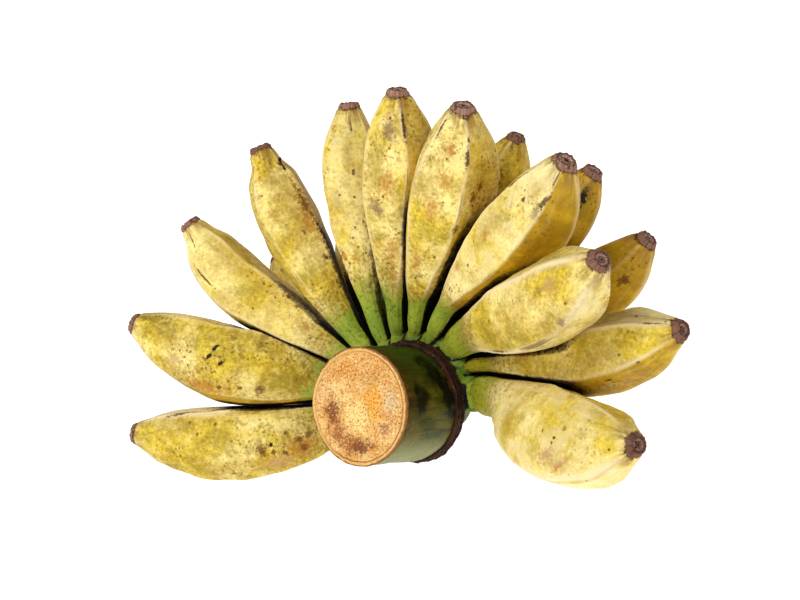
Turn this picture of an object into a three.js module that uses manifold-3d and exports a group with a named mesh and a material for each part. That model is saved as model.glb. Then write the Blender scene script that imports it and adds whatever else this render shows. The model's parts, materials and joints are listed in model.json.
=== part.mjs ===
import * as THREE from 'three';
import { mergeVertices } from 'three/addons/utils/BufferGeometryUtils.js';
import Module from 'manifold-3d';

// A hand of short, angular cooking bananas on a sawn length of the bunch stalk, lying at rest.
// Millimetres. The stalk's axis runs along Y with the sawn end at the front (-Y), X is to the right and
// Z up. A place on the hand is polar: an angle round the stalk (0 = right, 90 = up), a reach from the
// axis and a distance forward of the bract scar, the ring where the crown of fingers starts. The whole
// stands on Z = 0 with the origin under the middle of its box.

const wasm = await Module();
wasm.setup();

const rest = { lean: 4, roll: 1.2 }; // degrees that the hand leans back and rolls as it lies

const stalk = {
  cutRadius: 34, // at the sawn end
  ringRadius: 36.5, // at the bract scar
  ringWidth: 5,
  rearRadius: 25, // whittled down inside the crown
  flatten: 0.94, // how much narrower than high it is from the scar back
  front: 52,
  rear: 35,
  lift: 8, // degrees that the sawn end bends up from the crown's axis
  sides: 40,
};

// The pad round the upper back of the stalk that the stems grow from.
const crown = {
  innerRadius: 20,
  outerRadius: 36.2,
  start: -13, // degrees round the stalk
  end: 199,
  front: -3.5, // forward of the scar
  depth: 32,
  bevel: 2,
  steps: 12,
};

const gap = 0.5; // between pieces that grow against each other
const fingerSides = 20; // a multiple of the ridges, so each ridge runs along a row of corners
const fruitRings = 13; // from the neck to the tip
const ridges = 5;
const ridgeSharpness = 0.35; // 0 is a round section, 1 a flat-sided one
const pressPasses = 8; // steps in which neighbours press each other flat
const pathSteps = 60; // places along a centre line where it is compared with its neighbours
const tipRadius = 6.6;
const stemDepth = 13; // a stem's thickness along the stalk; across it, each has its own

// How the fruit swells past its neck and tapers to the tip: share of the way from the neck, and share of
// the growth from the stem's thickness to the belly's.
const swell = [
  [0, 0], [0.06, 0.13], [0.21, 0.48], [0.39, 0.8], [0.59, 1], [0.76, 0.91], [0.875, 0.65], [0.944, 0.36],
  [1, 0],
];
const swellBelly = 0.59; // the share at which the swelling is full

// One row for each finger, from the one lying on the left over the top to the one lying on the right.
// Places are [angle, reach, forward]: the stem's foot on the crown, the neck where the stem swells into
// the fruit, the belly and the tip. thick and stem are the thickness there, full is how far along the
// fruit its belly is, and turn is how far the ridges are turned round it.
const frontRow = [
  { foot: [190, 35.5, -13], neck: [192, 52, -9], belly: [190.3, 121, 25], tip: [184, 189, 50],
    thick: 49.5, stem: 15, full: 0.46, turn: 62 },
  { foot: [174, 35.5, -13], neck: [171, 54, -10], belly: [167.5, 122, 22], tip: [162, 191, 46],
    thick: 53, stem: 15, full: 0.47, turn: 44 },
  { foot: [158.5, 36, -13], neck: [153, 60, -10], belly: [147, 144, 10], tip: [140, 187, 24],
    thick: 43, stem: 13, full: 0.57, turn: 52 },
  { foot: [141, 37.3, -12], neck: [136, 62, -8], belly: [124.3, 137, 2], tip: [118.6, 185, 10],
    thick: 40.5, stem: 12.5, full: 0.58, turn: 67 },
  { foot: [126, 37, -13], neck: [117, 66, -12], belly: [105.2, 136, -12], tip: [99, 184, -8],
    thick: 38.5, stem: 11.5, full: 0.58, turn: 8 },
  { foot: [109, 37, -13], neck: [97, 62, -6], belly: [84, 139, 8], tip: [82, 184, 18],
    thick: 46, stem: 10, full: 0.6, turn: 46 },
  { foot: [91, 37, -14], neck: [79, 62, -4], belly: [66.5, 146, 16], tip: [66, 183, 28],
    thick: 49, stem: 10, full: 0.58, turn: 49 },
  { foot: [72, 37, -13], neck: [60, 67, -2], belly: [44.5, 141, 18], tip: [44.5, 188, 31],
    thick: 49, stem: 10.5, full: 0.56, turn: 25 },
  { foot: [52, 37, -13], neck: [42.5, 58, -5], belly: [27, 132, 33], tip: [27, 181, 56],
    thick: 48, stem: 19, full: 0.52, turn: 50 },
  { foot: [34, 36, -15], neck: [21.5, 60, -11], belly: [12, 131, 2], tip: [13, 189, 20],
    thick: 44, stem: 11, full: 0.52, turn: 25 },
  { foot: [5, 35.5, -13], neck: [2, 59, -5], belly: [-6.5, 119, 28], tip: [-3, 171, 54],
    thick: 53, stem: 22, full: 0.45, turn: 35 },
];
const backRow = [
  { foot: [189, 35.5, -29], neck: [192, 66, -30], belly: [191, 120, -34], tip: [188, 160, -30],
    thick: 37.5, stem: 12, full: 0.5, turn: 0 },
  { foot: [172, 36, -29], neck: [172, 64, -31], belly: [171, 104, -40], tip: [169, 132, -46],
    thick: 33, stem: 13, full: 0.5, turn: 20 },
  { foot: [154, 36, -29], neck: [154, 76, -30], belly: [149, 122, -35], tip: [144, 155, -38],
    thick: 38, stem: 14, full: 0.5, turn: 30 },
  { foot: [134, 37, -29], neck: [131.5, 62, -33], belly: [128, 98, -44], tip: [126, 128, -50],
    thick: 34, stem: 17, full: 0.5, turn: 10 },
  { foot: [106, 37, -29], neck: [101, 64, -31], belly: [92, 120, -44], tip: [89, 158, -44],
    thick: 36, stem: 16, full: 0.5, turn: 40 },
  { foot: [88, 37, -28], neck: [79, 61, -27], belly: [65, 133, -30], tip: [63.5, 168, -26],
    thick: 40, stem: 17, full: 0.55, turn: 15 },
  { foot: [67, 37, -30], neck: [60, 62, -27], belly: [46, 142, -29], tip: [46, 175, -25],
    thick: 39, stem: 17, full: 0.55, turn: 25 },
  { foot: [49, 36, -29], neck: [42, 60, -28], belly: [28, 135, -31], tip: [30, 172, -28],
    thick: 42, stem: 16, full: 0.55, turn: 5 },
  { foot: [25, 36, -29], neck: [19, 62, -29], belly: [9, 110, -36], tip: [8, 142, -38],
    thick: 33, stem: 17, full: 0.5, turn: 35 },
  { foot: [4, 35.5, -29], neck: [-3, 60, -29], belly: [-10, 92, -28], tip: [-12, 120, -26],
    thick: 36, stem: 12, full: 0.5, turn: 20 },
];

const skins = {
  stalk: new THREE.MeshStandardMaterial({ color: 0x4f5f2c, roughness: 0.6 }),
  peel: new THREE.MeshStandardMaterial({ color: 0xe2c65a, roughness: 0.5 }),
};

const radians = THREE.MathUtils.degToRad;
const lerp = THREE.MathUtils.lerp;

function placeOnHand(around, reach, forward) {
  return new THREE.Vector3(reach * Math.cos(radians(around)), -forward, reach * Math.sin(radians(around)));
}

// The geometry with its shared corners merged, as a closed shell needs.
function closedShell(geometry) {
  const shell = geometry.clone();
  shell.deleteAttribute('normal');
  shell.deleteAttribute('uv');
  return mergeVertices(shell, 1e-4);
}

function solidOf(geometry) {
  const shell = closedShell(geometry);
  const vertProperties = new Float32Array(shell.attributes.position.array);
  const triVerts = new Uint32Array(shell.index.array);
  return new wasm.Manifold(new wasm.Mesh({ numProp: 3, vertProperties, triVerts }));
}

function geometryOf(solid) {
  const mesh = solid.getMesh();
  const geometry = new THREE.BufferGeometry();
  geometry.setAttribute('position', new THREE.BufferAttribute(mesh.vertProperties, 3));
  geometry.setIndex(new THREE.BufferAttribute(mesh.triVerts, 1));
  return geometry;
}

function piece(name, geometry, skin) {
  const shell = closedShell(geometry);
  shell.computeVertexNormals();
  const mesh = new THREE.Mesh(shell, skin);
  mesh.name = name;
  return mesh;
}

// How far out the skin is at an angle round the section, as a share of the radius: rounded flat sides
// between the ridges.
function sectionAt(angle) {
  const side = (2 * Math.PI) / ridges;
  const fromMiddle = THREE.MathUtils.euclideanModulo(angle, side) - side / 2;
  const flat = Math.cos(side / 2) / Math.cos(fromMiddle);
  return lerp(1, flat, ridgeSharpness);
}

// A finger's centre line, and its thickness anywhere along it.
function growFinger(finger) {
  const guides = [finger.foot, finger.neck, finger.belly, finger.tip];
  const centreLine = new THREE.CatmullRomCurve3(guides.map((place) => placeOnHand(...place)));
  const stemLength = placeOnHand(...finger.foot).distanceTo(placeOnHand(...finger.neck));
  const neckShare = stemLength / centreLine.getLength();
  const swelling = new THREE.SplineCurve(swell.map((point) => new THREE.Vector2(...point)));

  function growthAt(share) {
    const past = (share - neckShare) / (1 - neckShare);
    if (past <= 0) return 0;
    const bellyShare = past < finger.full
      ? (past / finger.full) * swellBelly
      : 1 - ((1 - past) / (1 - finger.full)) * (1 - swellBelly);
    let low = 0;
    let high = 1;
    for (let step = 0; step < 20; step += 1) {
      const middle = (low + high) / 2;
      if (swelling.getPoint(middle).x < bellyShare) low = middle;
      else high = middle;
    }
    return swelling.getPoint(low).y;
  }

  function radiusAt(share) {
    const slim = share < 0.5 ? finger.stem / 2 : tipRadius;
    return lerp(slim, finger.thick / 2, growthAt(share));
  }

  // Two rings on the stem, and the rest closer together where the fruit swells and where it tapers.
  const shares = [0, neckShare * 0.55];
  for (let ring = 0; ring <= fruitRings; ring += 1) {
    const evenly = ring / fruitRings;
    const eased = evenly - Math.sin(4 * Math.PI * evenly) * 0.03;
    shares.push(lerp(neckShare * 0.95, 1, eased));
  }
  const places = centreLine.getSpacedPoints(pathSteps);
  const rounds = places.map((centre, step) => ({ centre, radius: radiusAt(step / pathSteps) }));
  return { finger, centreLine, growthAt, radiusAt, shares, rounds };
}

const row = (name, fingers) => fingers.map((finger, index) => ({
  name: `${name}_finger_${index + 1}`,
  ...growFinger(finger),
}));
const fingers = [...row('front', frontRow), ...row('back', backRow)];

// How far a point is outside a finger's round outline; less than 0 inside it.
function distanceOutside(point, { rounds }) {
  return Math.min(...rounds.map(({ centre, radius }) => point.distanceTo(centre) - radius));
}

// Moves a corner of a finger towards its centre line until it is on its own side of every neighbour.
function press(corner, centre, own, neighbours) {
  const inwards = new THREE.Vector3().subVectors(centre, corner).normalize();
  for (let pass = 0; pass < pressPasses; pass += 1) {
    const nearest = Math.min(...neighbours.map((other) => distanceOutside(corner, other)));
    const over = distanceOutside(corner, own) + gap - nearest;
    if (over <= 0) return;
    corner.addScaledVector(inwards, over / 2);
  }
}

// A lathed finger of length 1 along Y, bent onto its centre line and pressed flat where it grows against
// its neighbours. The clearance is added all round.
function fingerGeometry(own, neighbours, clearance = 0) {
  const profile = [new THREE.Vector2(0, 0)];
  own.shares.forEach((share) => profile.push(new THREE.Vector2(own.radiusAt(share) + clearance, share)));
  profile.push(new THREE.Vector2(0, 1));
  const geometry = new THREE.LatheGeometry(profile, fingerSides, radians(own.finger.turn));
  const position = geometry.attributes.position;
  const forwards = new THREE.Vector3(0, -1, 0);
  const corner = new THREE.Vector3();
  for (let i = 0; i < position.count; i += 1) {
    corner.fromBufferAttribute(position, i);
    const share = THREE.MathUtils.clamp(corner.y, 0, 1);
    const angle = Math.atan2(corner.x, corner.z);
    const swollen = own.growthAt(share);
    const outline = Math.hypot(corner.x, corner.z);
    const round = lerp(1, sectionAt(angle - radians(own.finger.turn)), Math.min(1, swollen * 3));
    const centre = own.centreLine.getPointAt(share);
    const along = own.centreLine.getTangentAt(share);
    const side = new THREE.Vector3().crossVectors(along, forwards).normalize();
    const face = new THREE.Vector3().crossVectors(side, along);
    const oval = share < 0.5 ? lerp(stemDepth / own.finger.stem, 1, Math.min(1, swollen * 2)) : 1;
    corner.copy(centre);
    corner.addScaledVector(face, outline * round * oval * Math.cos(angle));
    corner.addScaledVector(side, outline * round * Math.sin(angle));
    if (outline > 0 && neighbours.length > 0) press(corner, centre, own, neighbours);
    position.setXYZ(i, corner.x, corner.y, corner.z);
  }
  return geometry;
}

// The stalk: slightly flared, with the bract scar standing proud, whittled down behind and bent up a
// little at the front.
function stalkGeometry() {
  const halfRing = stalk.ringWidth / 2;
  const profile = [
    [0, -stalk.rear], [stalk.rearRadius, -stalk.rear],
    [stalk.ringRadius - 0.8, -halfRing], [stalk.ringRadius, 0], [stalk.ringRadius - 0.8, halfRing],
    [stalk.ringRadius - 1.8, halfRing + 3], [stalk.cutRadius + 0.3, stalk.front * 0.5],
    [stalk.cutRadius, stalk.front - 2], [stalk.cutRadius - 1, stalk.front], [0, stalk.front],
  ].map((point) => new THREE.Vector2(...point));
  const lathe = new THREE.LatheGeometry(profile, stalk.sides);
  const position = lathe.attributes.position;
  const corner = new THREE.Vector3();
  const across = new THREE.Vector3(1, 0, 0);
  for (let i = 0; i < position.count; i += 1) {
    corner.fromBufferAttribute(position, i);
    const bent = THREE.MathUtils.smoothstep(corner.y, 0, stalk.front * 0.5);
    corner.set(corner.x * lerp(stalk.flatten, 1, bent), -corner.y, -corner.z);
    corner.applyAxisAngle(across, -radians(stalk.lift) * bent);
    position.setXYZ(i, corner.x, corner.y, corner.z);
  }
  return lathe;
}

function crownGeometry() {
  const outline = new THREE.Shape();
  const reach = crown.outerRadius - crown.bevel;
  outline.absarc(0, 0, reach, radians(crown.start), radians(crown.end), false);
  outline.absarc(0, 0, crown.innerRadius, radians(crown.end), radians(crown.start), true);
  const pad = new THREE.ExtrudeGeometry(outline, {
    depth: crown.depth - 2 * crown.bevel,
    curveSegments: crown.steps * 2,
    bevelSize: crown.bevel,
    bevelThickness: crown.bevel,
    bevelSegments: 2,
  });
  pad.scale(stalk.flatten, 1, 1);
  pad.rotateX(Math.PI / 2);
  pad.translate(0, crown.depth - crown.bevel - crown.front, 0);
  return pad;
}

// The stalk with the crown grown onto it, and a shallow socket for each finger's foot.
function stalkAndCrown() {
  const sockets = fingers.map((own) => {
    const [around] = own.finger.foot;
    return solidOf(fingerGeometry(own, [], gap)).translate(placeOnHand(around, -gap, 0).toArray());
  });
  const whole = solidOf(stalkGeometry()).add(solidOf(crownGeometry()));
  return geometryOf(sockets.reduce((solid, socket) => solid.subtract(socket), whole));
}

const lyingHand = new THREE.Group();
lyingHand.rotation.set(-radians(rest.lean), radians(rest.roll), 0);
lyingHand.add(piece('stalk', stalkAndCrown(), skins.stalk));
fingers.forEach((own) => {
  const neighbours = fingers.filter((other) => other !== own);
  lyingHand.add(piece(own.name, fingerGeometry(own, neighbours), skins.peel));
});

const box = new THREE.Box3().setFromObject(lyingHand, true);
const middle = box.getCenter(new THREE.Vector3());
lyingHand.position.set(-middle.x, -middle.y, -box.min.z);

const hand = new THREE.Group();
hand.add(lyingHand);

export default hand;
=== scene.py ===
import json
import math
import random

import bmesh
import bpy
import numpy as np
from mathutils import Matrix, Vector, noise
from mathutils.bvhtree import BVHTree

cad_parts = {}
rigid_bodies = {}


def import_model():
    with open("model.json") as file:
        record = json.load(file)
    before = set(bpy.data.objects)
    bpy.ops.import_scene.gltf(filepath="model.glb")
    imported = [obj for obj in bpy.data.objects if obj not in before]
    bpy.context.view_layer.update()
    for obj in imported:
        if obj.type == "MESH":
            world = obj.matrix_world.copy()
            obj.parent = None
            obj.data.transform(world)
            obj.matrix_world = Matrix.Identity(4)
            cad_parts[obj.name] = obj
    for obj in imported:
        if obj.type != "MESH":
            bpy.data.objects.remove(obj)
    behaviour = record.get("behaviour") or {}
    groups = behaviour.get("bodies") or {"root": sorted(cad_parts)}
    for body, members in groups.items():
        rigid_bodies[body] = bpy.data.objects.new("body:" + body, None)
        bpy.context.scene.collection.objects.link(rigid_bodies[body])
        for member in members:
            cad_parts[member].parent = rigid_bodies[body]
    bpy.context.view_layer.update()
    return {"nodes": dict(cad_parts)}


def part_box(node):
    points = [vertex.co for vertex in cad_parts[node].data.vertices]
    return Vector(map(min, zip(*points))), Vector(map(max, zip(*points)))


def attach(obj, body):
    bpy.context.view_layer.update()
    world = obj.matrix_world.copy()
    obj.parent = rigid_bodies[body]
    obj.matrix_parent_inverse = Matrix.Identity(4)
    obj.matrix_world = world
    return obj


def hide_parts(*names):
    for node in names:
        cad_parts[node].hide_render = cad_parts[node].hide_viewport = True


# a hand of short cooking bananas on a sawn piece of the bunch stalk, in metres throughout

for leftover in list(bpy.data.objects):
    bpy.data.objects.remove(leftover)
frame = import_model()
up = Vector((0, 0, 1))


def sawnEnd(node):
    # centre and outward direction of the flat disc at the front of the stalk
    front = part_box(node)[0].y
    disc = [face for face in frame["nodes"][node].data.polygons
            if face.normal.y < -0.95 and face.center.y < front + 0.02]
    area = sum(face.area for face in disc)
    centre = sum((face.center * face.area for face in disc), Vector()) / area
    facing = sum((face.normal * face.area for face in disc), Vector()).normalized()
    return centre, facing


stalkShape = {
    "front": 0.052,  # from the bract scar to the sawn end
    "rear": 0.034,
    "cutRadius": 0.0338,
    "scarRadius": 0.0358,
    "rearRadius": 0.0245,
    "flatten": 0.94,  # narrower than high from the scar back
    "lift": 8,  # degrees that the sawn end bends up from the crown's axis
}
cutCentre, cutFacing = sawnEnd("stalk")
scarCentre = cutCentre - cutFacing * stalkShape["front"]
handRight = up.cross(cutFacing).normalized()
handForward = Matrix.Rotation(math.radians(stalkShape["lift"]), 3, handRight) @ cutFacing
handUp = handForward.cross(handRight)
print("stalk found: scar centre", [round(value, 4) for value in scarCentre])


# camera, light and floor

view = {
    "azimuth": 36,  # degrees to the right of the front
    "elevation": 7,
    "roll": 9.2,
    "distance": 0.74,
    "aside": 0.0066,  # how far the bract scar stands right of the view's middle
    "below": 0.0612,  # and below it
    "lens": 55.5,
}


def addCamera():
    azimuth = math.radians(view["azimuth"])
    elevation = math.radians(view["elevation"])
    roll = math.radians(view["roll"])
    back = Vector((math.sin(azimuth) * math.cos(elevation), -math.cos(azimuth) * math.cos(elevation),
                   math.sin(elevation)))
    level = Vector((math.cos(azimuth), math.sin(azimuth), 0))
    upright = back.cross(level)
    right = level * math.cos(roll) - upright * math.sin(roll)
    top = upright * math.cos(roll) + level * math.sin(roll)
    place = scarCentre - right * view["aside"] + top * view["below"] + back * view["distance"]
    camera = bpy.data.objects.new("camera", bpy.data.cameras.new("camera"))
    bpy.context.collection.objects.link(camera)
    camera.data.lens = view["lens"]
    camera.data.clip_start = 0.01
    camera.matrix_world = Matrix.Translation(place) @ Matrix((right, top, back)).transposed().to_4x4()
    bpy.context.scene.camera = camera
    return right, top, back


cameraRight, cameraTop, cameraBack = addCamera()

lights = {
    "key": {"from": (-0.75, 0.95, 0.9), "distance": 1.3, "size": 0.6, "power": 7.6},
    "fill": {"from": (0.5, 0.25, 1.0), "distance": 1.6, "size": 1.2, "power": 1.2},
    "sky": 0.22,
}


def addLight(name):
    values = lights[name]
    right, top, back = values["from"]
    way = (cameraRight * right + cameraTop * top + cameraBack * back).normalized()
    lamp = bpy.data.objects.new(name, bpy.data.lights.new(name, "AREA"))
    bpy.context.collection.objects.link(lamp)
    lamp.data.shape = "DISK"
    lamp.data.size = values["size"]
    lamp.data.energy = values["power"]
    lamp.location = scarCentre + way * values["distance"]
    lamp.rotation_euler = way.to_track_quat("Z", "Y").to_euler()


def addSky():
    world = bpy.data.worlds.new("sky")
    world.use_nodes = True
    world.node_tree.nodes["Background"].inputs["Color"].default_value = (1, 1, 1, 1)
    world.node_tree.nodes["Background"].inputs["Strength"].default_value = lights["sky"]
    bpy.context.scene.world = world


addLight("key")
addLight("fill")
addSky()
bpy.context.scene.view_settings.view_transform = "Standard"
bpy.context.scene.view_settings.look = "Medium High Contrast"


def tint(text):
    # a colour in hexadecimal, made linear
    channels = [int(text[i:i + 2], 16) / 255 for i in (0, 2, 4)]
    return tuple(c / 12.92 if c <= 0.04045 else ((c + 0.055) / 1.055) ** 2.4 for c in channels)


class Paint:
    # shorthand for building a material's nodes; self.colour is what is painted so far
    def __init__(self, name, roughness=0.5, shine=0.3, palette=None):
        self.palette = palette or {}
        self.material = bpy.data.materials.new(name)
        self.material.use_nodes = True
        self.tree = self.material.node_tree
        self.shader = self.tree.nodes["Principled BSDF"]
        self.shader.inputs["Roughness"].default_value = roughness
        self.shader.inputs["Specular IOR Level"].default_value = shine
        self.place = self.node("ShaderNodeTexCoord").outputs["Object"]

    def node(self, kind, inputs=None, **settings):
        made = self.tree.nodes.new(kind)
        for key, value in settings.items():
            setattr(made, key, value)
        for key, value in (inputs or {}).items():
            self.feed(made.inputs[key], value)
        return made

    def feed(self, socket, value):
        if isinstance(value, bpy.types.NodeSocket):
            self.tree.links.new(value, socket)
        elif isinstance(value, str):
            socket.default_value = (*tint(self.palette.get(value, value)), 1)
        else:
            socket.default_value = value

    def attribute(self, name, output="Fac"):
        return self.node("ShaderNodeAttribute", attribute_name=name).outputs[output]

    def stretched(self, vector, *scale):
        return self.node("ShaderNodeMapping", {"Vector": vector, "Scale": scale}).outputs["Vector"]

    def within(self, vector, place, size, turn=(0, 0, 0)):
        # how far the vector is from a place, 1 at the edge of an oval of this size
        moved = self.node("ShaderNodeMapping", {
            "Vector": vector, "Location": place, "Rotation": turn, "Scale": size}, vector_type="TEXTURE")
        return self.length(moved.outputs["Vector"])

    def length(self, vector):
        return self.node("ShaderNodeVectorMath", {0: vector}, operation="LENGTH").outputs["Value"]

    def noise(self, scale, vector=None, detail=3, rough=0.5, bend=0):
        return self.node("ShaderNodeTexNoise", {
            "Vector": vector or self.place, "Scale": scale, "Detail": detail, "Roughness": rough,
            "Distortion": bend}).outputs["Fac"]

    def cells(self, scale, vector, output="Distance"):
        return self.node("ShaderNodeTexVoronoi", {"Vector": vector, "Scale": scale}).outputs[output]

    def span(self, value, low, high, start=0.0, end=1.0):
        return self.node("ShaderNodeMapRange", {
            "Value": value, "From Min": low, "From Max": high, "To Min": start, "To Max": end},
            interpolation_type="SMOOTHSTEP").outputs["Result"]

    def folded(self, operation, first, *rest):
        for value in rest:
            first = self.node("ShaderNodeMath", {0: first, 1: value}, operation=operation).outputs["Value"]
        return first

    def sum(self, *values):
        return self.folded("ADD", *values)

    def product(self, *values):
        return self.folded("MULTIPLY", *values)

    def lowest(self, *values):
        return self.folded("MINIMUM", *values)

    def highest(self, *values):
        return self.folded("MAXIMUM", *values)

    def wobble(self, texture, reach, low=0.3):
        # a little more or less, as the texture says
        return self.span(texture, low, 1 - low, -reach, reach)

    def mix(self, share, first, second):
        return self.node("ShaderNodeMix", {0: share, 6: first, 7: second}, data_type="RGBA").outputs[2]

    def over(self, colour, *shares):
        self.colour = self.mix(self.product(*shares), self.colour, colour)

    def layer(self, colour, value, low, high, strength=1.0):
        self.over(colour, self.span(value, low, high, 0, strength))

    def finish(self, height, depth, texture, smooth, rough):
        # the relief of the surface, and a texture that makes it smoother and rougher
        bump = self.node("ShaderNodeBump", {"Height": height, "Distance": depth})
        self.feed(self.shader.inputs["Base Color"], self.colour)
        self.feed(self.shader.inputs["Normal"], bump.outputs["Normal"])
        self.feed(self.shader.inputs["Roughness"], self.span(texture, 0.3, 0.7, smooth, rough))
        return self.material


floorShape = {"radius": 2.6, "bend": 0.5, "wall": 0.7, "sides": 96, "steps": 10, "colour": "8c8c8c",
              "glow": 0.95}


def addFloor():
    # a disc whose edge bends up into a wall
    bm = bmesh.new()
    bmesh.ops.create_circle(bm, cap_ends=True, segments=floorShape["sides"], radius=floorShape["radius"])
    rim = bm.edges[:]
    steps = floorShape["steps"]
    for step in range(1, steps + 2):
        grown = bmesh.ops.extrude_edge_only(bm, edges=rim)["geom"]
        rim = [item for item in grown if isinstance(item, bmesh.types.BMEdge)]
        angle = math.pi / 2 * min(step, steps) / steps
        radius = floorShape["radius"] + math.sin(angle) * floorShape["bend"]
        height = (1 - math.cos(angle)) * floorShape["bend"] + (floorShape["wall"] if step > steps else 0)
        for vert in {vert for edge in rim for vert in edge.verts}:
            across = Vector((vert.co.x, vert.co.y, 0)).normalized() * radius
            vert.co = (across.x, across.y, height)
    bmesh.ops.recalc_face_normals(bm, faces=bm.faces)
    mesh = bpy.data.meshes.new("floor")
    bm.to_mesh(mesh)
    bm.free()
    mesh.shade_smooth()
    floor = bpy.data.objects.new("floor", mesh)
    bpy.context.collection.objects.link(floor)
    paper = Paint("plain_paper", 0.9)
    for socket, value in {"Base Color": floorShape["colour"], "Emission Color": "ffffff",
                          "Emission Strength": floorShape["glow"]}.items():
        paper.feed(paper.shader.inputs[socket], value)
    mesh.materials.append(paper.material)


addFloor()
print("camera, light and floor are set")


def modified(bm, name, *steps):
    # the mesh with its modifiers applied
    mesh = bpy.data.meshes.new(name)
    bm.to_mesh(mesh)
    bm.free()
    draft = bpy.data.objects.new(name, mesh)
    bpy.context.collection.objects.link(draft)
    for kind, settings in steps:
        modifier = draft.modifiers.new(kind.lower(), kind)
        for key, value in settings.items():
            setattr(modifier, key, value)
    graph = bpy.context.evaluated_depsgraph_get()
    final = bpy.data.meshes.new_from_object(draft.evaluated_get(graph))
    bpy.data.objects.remove(draft)
    bpy.data.meshes.remove(mesh)
    final.name = name
    return final


def smoothed(bm, name, levels):
    return modified(bm, name, ("SUBSURF", {"levels": levels, "render_levels": levels}))


def readVectors(items, key):
    values = np.zeros(len(items) * 3)
    items.foreach_get(key, values)
    return values.reshape(-1, 3)


def readLayer(mesh, name):
    layer = mesh.attributes[name]
    if layer.data_type == "FLOAT_VECTOR":
        return readVectors(layer.data, "vector")
    values = np.zeros(len(layer.data))
    layer.data.foreach_get("value", values)
    return values


def writeLayer(mesh, name, values):
    kind, key = ("FLOAT_VECTOR", "vector") if values.ndim == 2 else ("FLOAT", "value")
    layer = mesh.attributes.get(name) or mesh.attributes.new(name, kind, "POINT")
    layer.data.foreach_set(key, values.astype(np.float32).ravel())


def readPlaces(mesh):
    return readVectors(mesh.vertices, "co")


def readNormals(mesh):
    return readVectors(mesh.vertex_normals, "vector")


def moveTo(mesh, places):
    mesh.vertices.foreach_set("co", places.ravel())


def easedShare(value, low, high):
    share = np.clip((value - low) / (high - low), 0, 1)
    return share * share * (3 - 2 * share)


def noiseAt(points, scale, seed):
    shift = Vector((seed * 7.31, seed * 3.17, seed * 5.77))
    return np.array([noise.noise(Vector(point) * scale + shift) for point in points])


def apart(turns, turn):
    # degrees between angles, the shorter way round
    return np.abs((turns - turn + 180) % 360 - 180)


def addPiece(mesh, name, material, replaced=None):
    mesh.shade_smooth()
    mesh.materials.clear()
    mesh.materials.append(material)
    piece = bpy.data.objects.new(name, mesh)
    bpy.context.collection.objects.link(piece)
    if replaced:
        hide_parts(replaced)
    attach(piece, "root")
    print(name, "has", len(mesh.polygons), "faces")


# the fingers

peelShape = {
    "levels": {"front": 3, "back": 2},
    "columns": 20,  # sides of a plain CAD finger
    "cadSharpness": 0.35,  # how flat-sided the plain shape is, round five even ridges
    "facetDepth": 0.125,  # how far the middle of a facet lies in, as a share of the radius
    "facetRound": 1.8,
    "facetNarrow": 40,  # half a facet's degrees below which it is shallower
    "fullness": 1.03,
    "neckEdge": 2.5,  # how soon the facets begin above the neck
    "stemGirth": 0.15,  # how much stouter the stems grow, as a share of their radius
    "stemSpan": (0.004, 0.014),  # metres from the foot over which they become stouter
    "ridgeRise": 0.0005, "ridgeCrest": 0.001,
    "ridgeWidth": 0.0014,  # of its dry strip
    "wander": 5,  # degrees that a ridge strays sideways
    "lumps": 0.0008,
    "wrinkles": 0.0003,
    "girth": 0.02,  # radius of the straightened finger that patterns are laid on
    "clearOf": (0.0012, 0.0045),  # metres from a neighbour: pressed up to the first, free from the second
    "pressed": 0.7,  # how much of its relief a finger loses where it is pressed
    "bulgeTurn": 45,  # degrees round in which a bulge fades
    "toneTurn": 4,  # degrees either side of a ridge in which the tone changes
}
shadeShape = {  # how far and how strongly neighbours cast painted shade on the peel
    "touch": 0.006,
    "gap": 0.016, "gapStrength": 0.86, "gapFade": 0.55,
    "cover": 0.035, "coverStrength": 0.95,  # painted shade where the front row stands in front of the back row
    "coverAims": ((0, 0), (0.3, 0), (-0.3, 0), (0, 0.3), (0, -0.3)),
    "upTo": (0.72, 0.52),  # shares of the way along a finger where the painted gap shade stops
    "deepest": (0.36, 0.2), "deepen": 0.3,
    "clear": 0.0003,  # rays start this far off the peel
}
tipShape = {
    "steps": [  # inset, rise: the dried flower scar at a finger's end, from its edge inwards
        (0.0004, 0.0009), (0.0010, 0.0003), (0.0009, -0.0011), (0.0011, -0.0004), (0.0008, 0.0008),
        (0.0009, -0.0002)],
    "narrowed": (1, 0.6, 0.2),  # how much of the narrowing the last rings take
    "groove": (0.0022, 0.0008, 0.0007),  # from the end, width, depth
    "beak": (0.010, 0.0065),  # from the end, width
    "rough": 0.0006,
}
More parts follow.
